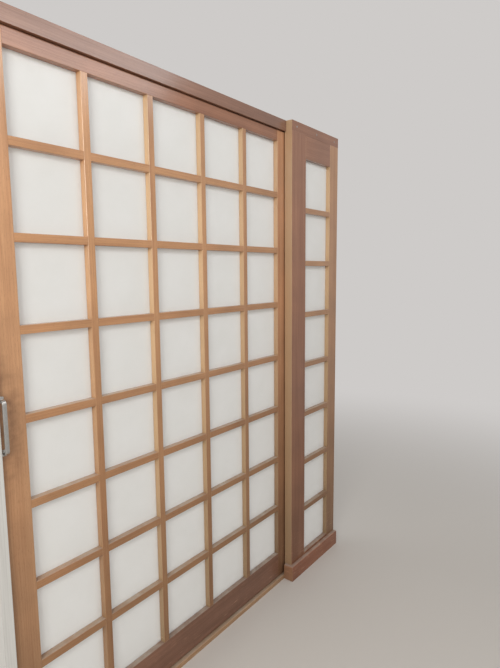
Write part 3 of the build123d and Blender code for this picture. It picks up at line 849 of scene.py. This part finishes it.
def bend_bar(angle, centre):
    """Bend the selected end about a centre, in the plane of the pull."""
    bpy.ops.mesh.spin(steps=BEND_STEPS, angle=angle, center=centre, axis=(1.0, 0.0, 0.0))


first_bend = (pull_x, grip_y + BEND_RADIUS, low_foot_z + BEND_RADIUS)
second_bend = (pull_x, grip_y + BEND_RADIUS, high_foot_z - BEND_RADIUS)
bpy.ops.object.mode_set(mode="EDIT")
bpy.ops.mesh.select_all(action="SELECT")
extrude_bar((0.0, first_bend[1] - foot_face, 0.0))
bend_bar(math.pi / 2, first_bend)
extrude_bar((0.0, 0.0, second_bend[2] - first_bend[2]))
bend_bar(math.pi / 2, second_bend)
extrude_bar((0.0, foot_face - second_bend[1], 0.0))
bpy.ops.object.mode_set(mode="OBJECT")
report(bar)

# %% [markdown]
# A bar sawn from flat stock has four long edges, and each is eased. The two ends stand on the feet
# and stay square. So only the edges that run along the bar are bevelled, and not those that lie
# across it, which are as long as the bar is wide or thick. A foot is a square of plate with rounded
# corners and a soft rim, so it is bevelled twice, first at the corners and then round the rim.

# %% Eased bar and feet
BAR_EASE = 0.0015
BAR_EASE_STEPS = 3
FOOT_CORNER = 0.003
CORNER_STEPS = 4
RIM_EASE = 0.0006
RIM_STEPS = 2
PULL_SMOOTH = 35


def runs_along(centre, run):
    """True for the edges that run along the bar, and false for those that lie across it."""
    return all(abs(run.length - side) > EPSILON for side in (BAR_WIDTH, BAR_THICKNESS))


pick(bar, "edges", runs_along)
bpy.ops.mesh.bevel(offset=BAR_EASE, segments=BAR_EASE_STEPS)
complete(bar, PULL_SMOOTH)


def square_foot(name, height):
    """A foot plate with rounded corners and an eased rim, standing on the stile's face."""
    foot = start_piece(
        name,
        bpy.ops.mesh.primitive_cube_add,
        scale=(foot_size, FOOT_THICKNESS, foot_size),
        size=1.0,
        location=(pull_x, stile_face - FOOT_THICKNESS / 2, height),
    )
    pick(foot, "edges", lambda centre, run: abs(run.y) > FOOT_THICKNESS / 2)
    bpy.ops.mesh.bevel(offset=FOOT_CORNER, segments=CORNER_STEPS)
    pick(foot, "faces", lambda centre, normal: normal.y < -SQUARE_ON)
    bpy.ops.mesh.bevel(offset=RIM_EASE, segments=RIM_STEPS)
    complete(foot, PULL_SMOOTH)
    return foot


low_foot = square_foot("low_foot", low_foot_z)
high_foot = square_foot("high_foot", high_foot_z)
front_bow_pull = join("front_bow_pull", [bar, low_foot, high_foot])
dress(front_bow_pull, satin_nickel)
report(front_bow_pull)

# %% [markdown]
# The same pull is on the room side, so the front one is copied with its own mesh and turned half
# round an upright line through the middle of the leaf. With no window on screen the rotate
# operator ignores the pivot setting, so the centre is given to it.

# %% Rear pull
rear_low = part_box("rear_pull")[0]
turn_centre = (pull_x, (pull_high.y + rear_low.y) / 2, (pull_low.z + pull_high.z) / 2)
rear_bow_pull = copy_to(front_bow_pull, "rear_bow_pull", (0.0, 0.0, 0.0))
bpy.ops.object.select_all(action="DESELECT")
rear_bow_pull.select_set(True)
bpy.context.view_layer.objects.active = rear_bow_pull
bpy.ops.object.mode_set(mode="EDIT")
bpy.ops.mesh.select_all(action="SELECT")
bpy.ops.transform.rotate(value=math.pi, orient_axis="Z", center_override=turn_centre)
bpy.ops.object.mode_set(mode="OBJECT")
for pull, node in ((front_bow_pull, "front_pull"), (rear_bow_pull, "rear_pull")):
    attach(pull, "leaf")
    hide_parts(node)
report(rear_bow_pull)

# %% [markdown]
# The beads that hold the milky sheet are pinned. From the room side one sees a row of small pin
# heads, each a low dome a little proud of the wood. One head is modelled: a short cylinder whose
# free rim is rounded, which reads as a dome at this size. The rest are copies, set out evenly
# along each bead, and all the heads of one sheet are joined into one piece.

# %% Bead pins
PIN_RADIUS = 0.0014
PIN_RISE = 0.0004
PIN_SEAT = 0.0003
PIN_DOME = 0.0003
PIN_DOME_STEPS = 2
PIN_SIDES = 12
PIN_SMOOTH = 50
PIN_INSET = 0.005
PIN_END = 0.045
PIN_SPACING = 0.20


def pin_head(name, place):
    """One domed head that faces the room, with its middle at a place on the bead's face."""
    head = start_piece(
        name,
        bpy.ops.mesh.primitive_cylinder_add,
        vertices=PIN_SIDES,
        radius=PIN_RADIUS,
        depth=PIN_RISE + PIN_SEAT,
        location=(place[0], place[1] + (PIN_RISE - PIN_SEAT) / 2, place[2]),
        rotation=(-math.pi / 2, 0.0, 0.0),
    )
    pick(head, "faces", lambda centre, normal: normal.y > SQUARE_ON)
    bpy.ops.mesh.bevel(offset=PIN_DOME, segments=PIN_DOME_STEPS)
    complete(head, PIN_SMOOTH)
    return head


def even_steps(start, end, spacing):
    """Evenly spaced places from start to end, as near to a spacing as whole steps allow."""
    count = max(1, round((end - start) / spacing))
    return [start + (end - start) * step / count for step in range(count + 1)]


def bead_places(prefix):
    """Where the pins of a sheet's four beads sit, on the room face of the beads."""
    low_x, high_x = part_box(prefix + "_bead_left")[0].x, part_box(prefix + "_bead_right")[1].x
    low_z, high_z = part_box(prefix + "_bead_bottom")[0].z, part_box(prefix + "_bead_top")[1].z
    face_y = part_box(prefix + "_bead_left")[1].y
    places = []
    for x in even_steps(low_x + PIN_END, high_x - PIN_END, PIN_SPACING):
        places.append((x, face_y, low_z + PIN_INSET))
        places.append((x, face_y, high_z - PIN_INSET))
    for z in even_steps(low_z + PIN_END, high_z - PIN_END, PIN_SPACING):
        places.append((low_x + PIN_INSET, face_y, z))
        places.append((high_x - PIN_INSET, face_y, z))
    return places


def pin_row(name, prefix, body):
    """Every pin head of one sheet, as one piece."""
    places = bead_places(prefix)
    first = pin_head(name, places[0])
    copies = []
    for number, place in enumerate(places[1:]):
        copies.append(copy_to(first, f"{name}_{number}", Vector(place) - Vector(places[0])))
    row = join(name, [first] + copies)
    dress(row, screw_steel)
    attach(row, body)
    print(name, "heads:", len(places))
    report(row)


pin_row("leaf_bead_pins", "leaf", "leaf")
pin_row("sidelight_bead_pins", "sidelight", "frame")

# %% [markdown]
# Slotted screws hold the head piece above the sidelight and the wheel housings under the leaf.
# A flat head is a disc with its rim eased and a slot across it. The slot is cut the way a file
# would cut it: the top face is split along two lines, and the strip between them is pushed down.

# %% Slotted screws
HEAD_SIDES = 24
HEAD_EASE = 0.0003
HEAD_EASE_STEPS = 2
HEAD_SMOOTH = 30
SLOT_WIDTH = 0.0009
SLOT_DEPTH = 0.0006
BED_DEPTH = 0.0012
FIRST_SLOT_ANGLE = 17
SLOT_ANGLE_STEP = 53


def slotted_screw(name, radius, rise):
    """A slotted screw head at the origin that faces down along -Z, with its bed in the wood."""
    head = start_piece(
        name,
        bpy.ops.mesh.primitive_cylinder_add,
        vertices=HEAD_SIDES,
        radius=radius,
        depth=rise + BED_DEPTH,
        location=(0.0, 0.0, (BED_DEPTH - rise) / 2),
    )
    pick(head, "faces", lambda centre, normal: normal.z < -SQUARE_ON)
    bpy.ops.mesh.bevel(offset=HEAD_EASE, segments=HEAD_EASE_STEPS)
    for side in (-1, 1):
        bpy.ops.mesh.select_all(action="SELECT")
        bpy.ops.mesh.bisect(plane_co=(side * SLOT_WIDTH / 2, 0.0, 0.0), plane_no=(1.0, 0.0, 0.0))
    pick(head, "faces", lambda centre, normal: normal.z < -SQUARE_ON and abs(centre.x) < SLOT_WIDTH / 4)
    bpy.ops.mesh.extrude_region_move(TRANSFORM_OT_translate={"value": (0.0, 0.0, SLOT_DEPTH)})
    complete(head, HEAD_SMOOTH)
    return head


def drive_screws(name, radius, rise, turn, places, body):
    """Copies of one slotted screw, turned the same way and each given its own slot angle."""
    pattern = slotted_screw(name + "_pattern", radius, rise)
    copies = []
    for number, place in enumerate(places):
        slot_angle = math.radians(FIRST_SLOT_ANGLE + SLOT_ANGLE_STEP * number)
        made = copy_to(pattern, f"{name}_{number}", (0.0, 0.0, 0.0))
        made.data.transform(Matrix.Translation(place) @ turn @ Matrix.Rotation(slot_angle, 4, "Z"))
        copies.append(made)
    bpy.data.objects.remove(pattern)
    group = join(name, copies)
    dress(group, screw_steel)
    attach(group, body)
    print(name, "screws:", len(places))
    report(group)


HEAD_SCREW_RADIUS = 0.0045
HEAD_SCREW_RISE = 0.0003
HEAD_SCREW_INSET = 0.040
cover_low, cover_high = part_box("sidelight_head")
cover_middle = (cover_low + cover_high) / 2
cover_columns = (cover_low.x + HEAD_SCREW_INSET, cover_middle.x, cover_high.x - HEAD_SCREW_INSET)
cover_places = [(x, cover_low.y, cover_middle.z) for x in cover_columns]
face_corridor = Matrix.Rotation(-math.pi / 2, 4, "X")
drive_screws(
    "sidelight_head_screws", HEAD_SCREW_RADIUS, HEAD_SCREW_RISE, face_corridor, cover_places, "frame"
)

PLATE_SCREW_RADIUS = 0.0032
PLATE_SCREW_RISE = 0.0008
PLATE_SCREW_INSET = 0.007
plate_places = []
for side in ("left", "right"):
    plate_low, plate_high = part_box(side + "_wheel_housing")
    plate_y = (plate_low.y + plate_high.y) / 2
    plate_places.append((plate_low.x + PLATE_SCREW_INSET, plate_y, plate_low.z))
    plate_places.append((plate_high.x - PLATE_SCREW_INSET, plate_y, plate_low.z))
drive_screws(
    "housing_screws", PLATE_SCREW_RADIUS, PLATE_SCREW_RISE, Matrix.Identity(4), plate_places, "leaf"
)

# %% [markdown]
# The floor and the backdrop only carry the object. The floor is pale and catches the shadow; far
# from the screen it fades into the backdrop's own colour, so no horizon cuts the picture. Only the
# camera and clear reflections see that colour, so it adds no light to the wood.

# %% Floor and backdrop
FLOOR_SIZE = 24.0
FLOOR_COLOUR = paint(213, 208, 202)
FLOOR_ROUGHNESS = (0.62, 0.70)
BACKDROP = paint(206, 203, 201)
FADE_START = 1.2
FADE_END = 4.6
AMBIENT = 0.44
AMBIENT_COLOUR = (1.0, 0.985, 0.97, 1.0)


def seen_rays(tree):
    """One where the camera looks, or a clear reflection or glass does, and zero for light."""
    ray = add(tree, "LightPath").outputs
    seen = add(tree, "Math", {0: ray["Is Camera Ray"], 1: ray["Is Glossy Ray"]}, operation="MAXIMUM")
    return add(tree, "Math", {0: seen, 1: ray["Is Transmission Ray"]}, operation="MAXIMUM")


def floor_finish():
    """A pale floor that turns into the backdrop's colour far from the screen."""
    made, tree, shader, spot = open_material("studio_floor")
    speck = noise(tree, spot, scale=40.0, detail=4.0)
    fill(shader, {"Base Color": FLOOR_COLOUR, "Roughness": remap(tree, speck, NOISE_SPAN, FLOOR_ROUGHNESS)})
    reach = add(tree, "VectorMath", {0: spot}, operation="LENGTH")
    fade = remap(tree, reach, (FADE_START, FADE_END), interpolation_type="SMOOTHSTEP")
    glow = add(tree, "Emission", {"Color": BACKDROP, "Strength": 1.0})
    blend = add(tree, "MixShader", {0: multiply(tree, fade, seen_rays(tree)), 1: shader, 2: glow})
    fill(tree.nodes["Material Output"], {"Surface": blend})
    return made


bpy.ops.object.select_all(action="DESELECT")
bpy.ops.mesh.primitive_plane_add(size=FLOOR_SIZE, location=(0.0, 0.0, 0.0))
floor = bpy.context.active_object
floor.name = "studio_floor"
floor.data.materials.append(floor_finish())

world = bpy.data.worlds.new("studio")
bpy.context.scene.world = world
world.use_nodes = True
sky = world.node_tree
light_only = add(sky, "Background", {"Color": AMBIENT_COLOUR, "Strength": AMBIENT})
background = sky.nodes["Background"]
fill(background, {"Color": BACKDROP, "Strength": 1.0})
shown = add(sky, "MixShader", {0: seen_rays(sky), 1: light_only, 2: background})
fill(sky.nodes["World Output"], {"Surface": shown})
print("floor:", floor.dimensions[:], "ambient:", AMBIENT)

# %% [markdown]
# Two lamps light the corridor side. A soft window lamp stands high on the left, so the left cheek
# of every upright turns bright, the light falls off to the right, and each cross bar shades a small
# corner under it. A narrow panel at ceiling height is there for the varnish above eye level, which
# mirrors it as a grey haze. A third lamp stands in the room and shines through the milky sheets.

# %% Lamps
def lamp(name, place, aim, width, height, watts, colour=(1.0, 1.0, 1.0)):
    """A rectangle of light at a place that shines towards a point, and that the camera can't see."""
    light = bpy.data.lights.new(name, "AREA")
    light.shape = "RECTANGLE"
    light.size = width
    light.size_y = height
    light.energy = watts
    light.color = colour
    made = bpy.data.objects.new(name, light)
    bpy.context.scene.collection.objects.link(made)
    direction = Vector(aim) - Vector(place)
    made.matrix_world = Matrix.Translation(place) @ direction.to_track_quat("-Z", "Y").to_matrix().to_4x4()
    made.visible_camera = False
    return made


window = lamp(
    "window_lamp",
    place=(-2.9, -1.5, 2.25),
    aim=(0.0, -0.1, 1.1),
    width=1.2,
    height=1.3,
    watts=52.0,
    colour=(1.0, 0.985, 0.94),
)
ceiling = lamp(
    "ceiling_lamp",
    place=(0.3, -1.55, 2.75),
    aim=(0.1, -0.6, 1.2),
    width=1.6,
    height=0.5,
    watts=10.0,
    colour=(0.98, 0.99, 1.0),
)
room = lamp(
    "room_lamp",
    place=(-1.0, 3.2, 2.3),
    aim=(-0.2, 0.0, 1.2),
    width=2.6,
    height=1.8,
    watts=24.0,
)
print("lamps:", window.name, ceiling.name, room.name)

# %% [markdown]
# Colours are shown as they are written, with no film look.

# %% View
bpy.context.scene.view_settings.view_transform = "Standard"
